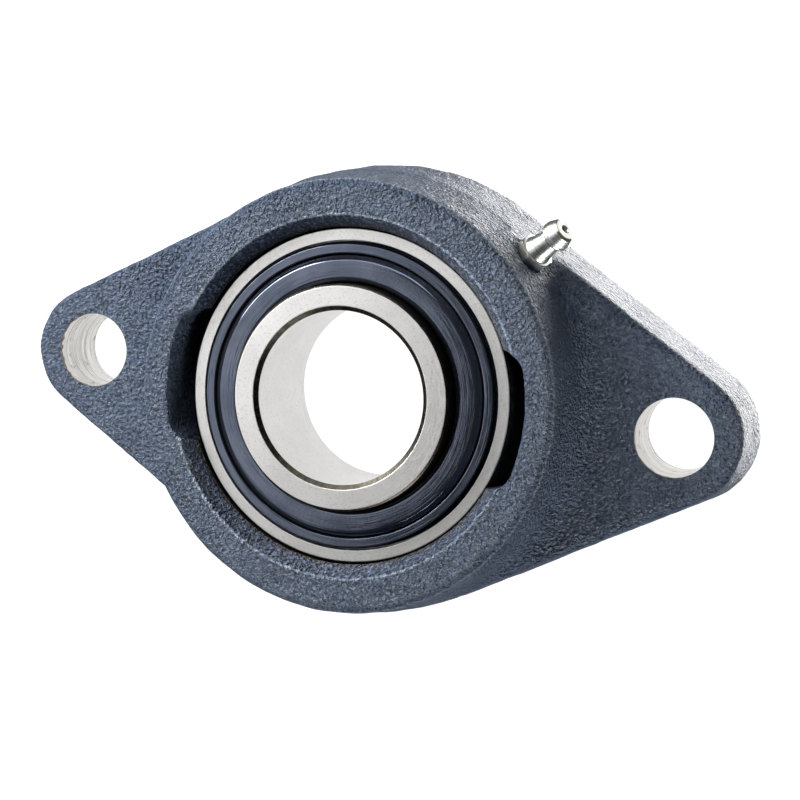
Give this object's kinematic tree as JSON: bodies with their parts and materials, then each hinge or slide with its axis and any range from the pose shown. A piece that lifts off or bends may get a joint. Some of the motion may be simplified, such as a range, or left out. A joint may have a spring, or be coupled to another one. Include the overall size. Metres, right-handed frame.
{
  "type": "flange mount bearing",
  "caption": "Two-bolt oval flange bearing unit: cast housing with a self-aligning ball insert, tapered bore, seals and grease nipple.",
  "frame": {"origin": "on the bore axis in the plane of the mounting face", "axes": "+X towards one bolt hole, the nipple on the +X +Y side; +Z along the bore, away from the mounting face"},
  "size_m": [0.1606, 0.0964, 0.0345],
  "materials": {
    "cast_paint": "dark slate blue-grey paint over rough sand-cast iron",
    "ground_steel": "satin ground bearing steel",
    "ball_steel": "polished bearing steel",
    "pressed_steel": "plain pressed steel and spring wire",
    "black_steel": "satin blue-black coated pressed steel",
    "seal_rubber": "matt black nitrile rubber",
    "zinc_plate": "zinc-plated steel with a faint yellow tint"
  },
  "bodies": {
    "housing": {"housing": "cast_paint", "grease_nipple": "zinc_plate"},
    "outer": {"outer_ring": "ground_steel", "seal_case_front": "black_steel", "seal_case_rear": "black_steel", "seal_lip_front": "seal_rubber", "seal_lip_rear": "seal_rubber"},
    "inner": {"inner_ring": "ground_steel", "flinger_front": "black_steel", "flinger_rear": "black_steel"},
    "cage": {"cage_front": "pressed_steel", "cage_rear": "pressed_steel", "cage_rivet_1": "pressed_steel", "cage_rivet_2": "pressed_steel", "cage_rivet_3": "pressed_steel", "cage_rivet_4": "pressed_steel", "cage_rivet_5": "pressed_steel", "cage_rivet_6": "pressed_steel", "cage_rivet_7": "pressed_steel", "cage_rivet_8": "pressed_steel", "cage_rivet_9": "pressed_steel"},
    "ball_1": {"ball_1": "ball_steel"},
    "ball_2": {"ball_2": "ball_steel"},
    "ball_3": {"ball_3": "ball_steel"},
    "ball_4": {"ball_4": "ball_steel"},
    "ball_5": {"ball_5": "ball_steel"},
    "ball_6": {"ball_6": "ball_steel"},
    "ball_7": {"ball_7": "ball_steel"},
    "ball_8": {"ball_8": "ball_steel"},
    "ball_9": {"ball_9": "ball_steel"},
    "check_ball": {"nipple_check_ball": "ball_steel", "nipple_spring": "pressed_steel"}
  },
  "joints": [
    {"name": "insert_align", "type": "hinge", "parent": "housing", "child": "outer", "pos_m": [0, 0, 0.019], "axis": [1, 0, 0], "range_deg": [-3, 3]},
    {"name": "inner_ring_spin", "type": "hinge", "parent": "outer", "child": "inner", "pos_m": [0, 0, 0.019], "axis": [0, 0, 1], "continuous": true},
    {"name": "cage_spin", "type": "hinge", "parent": "outer", "child": "cage", "pos_m": [0, 0, 0.019], "axis": [0, 0, 1], "continuous": true},
    {"name": "ball_1_roll", "type": "hinge", "parent": "cage", "child": "ball_1", "pos_m": [0.02675, 0, 0.019], "axis": [0, 0, 1], "continuous": true},
    {"name": "ball_2_roll", "type": "hinge", "parent": "cage", "child": "ball_2", "pos_m": [0.02049, 0.01719, 0.019], "axis": [0, 0, 1], "continuous": true},
    {"name": "ball_3_roll", "type": "hinge", "parent": "cage", "child": "ball_3", "pos_m": [0.00465, 0.02634, 0.019], "axis": [0, 0, 1], "continuous": true},
    {"name": "ball_4_roll", "type": "hinge", "parent": "cage", "child": "ball_4", "pos_m": [-0.01337, 0.02317, 0.019], "axis": [0, 0, 1], "continuous": true},
    {"name": "ball_5_roll", "type": "hinge", "parent": "cage", "child": "ball_5", "pos_m": [-0.02514, 0.00915, 0.019], "axis": [0, 0, 1], "continuous": true},
    {"name": "ball_6_roll", "type": "hinge", "parent": "cage", "child": "ball_6", "pos_m": [-0.02514, -0.00915, 0.019], "axis": [0, 0, 1], "continuous": true},
    {"name": "ball_7_roll", "type": "hinge", "parent": "cage", "child": "ball_7", "pos_m": [-0.01337, -0.02317, 0.019], "axis": [0, 0, 1], "continuous": true},
    {"name": "ball_8_roll", "type": "hinge", "parent": "cage", "child": "ball_8", "pos_m": [0.00465, -0.02634, 0.019], "axis": [0, 0, 1], "continuous": true},
    {"name": "ball_9_roll", "type": "hinge", "parent": "cage", "child": "ball_9", "pos_m": [0.02049, -0.01719, 0.019], "axis": [0, 0, 1], "continuous": true},
    {"name": "check_ball_press", "type": "slide", "parent": "housing", "child": "check_ball", "axis": [-0.7103, -0.596, -0.3746], "range_m": [0, 0.0006], "stiffness_N_per_m": 250, "springref_m": -0.001}
  ],
  "couplings": [
    {"joint": "cage_spin", "follows": "inner_ring_spin", "ratio": 0.39615},
    {"joint": "ball_1_roll", "follows": "inner_ring_spin", "ratio": -2.3034},
    {"joint": "ball_2_roll", "follows": "inner_ring_spin", "ratio": -2.3034},
    {"joint": "ball_3_roll", "follows": "inner_ring_spin", "ratio": -2.3034},
    {"joint": "ball_4_roll", "follows": "inner_ring_spin", "ratio": -2.3034},
    {"joint": "ball_5_roll", "follows": "inner_ring_spin", "ratio": -2.3034},
    {"joint": "ball_6_roll", "follows": "inner_ring_spin", "ratio": -2.3034},
    {"joint": "ball_7_roll", "follows": "inner_ring_spin", "ratio": -2.3034},
    {"joint": "ball_8_roll", "follows": "inner_ring_spin", "ratio": -2.3034},
    {"joint": "ball_9_roll", "follows": "inner_ring_spin", "ratio": -2.3034}
  ]
}
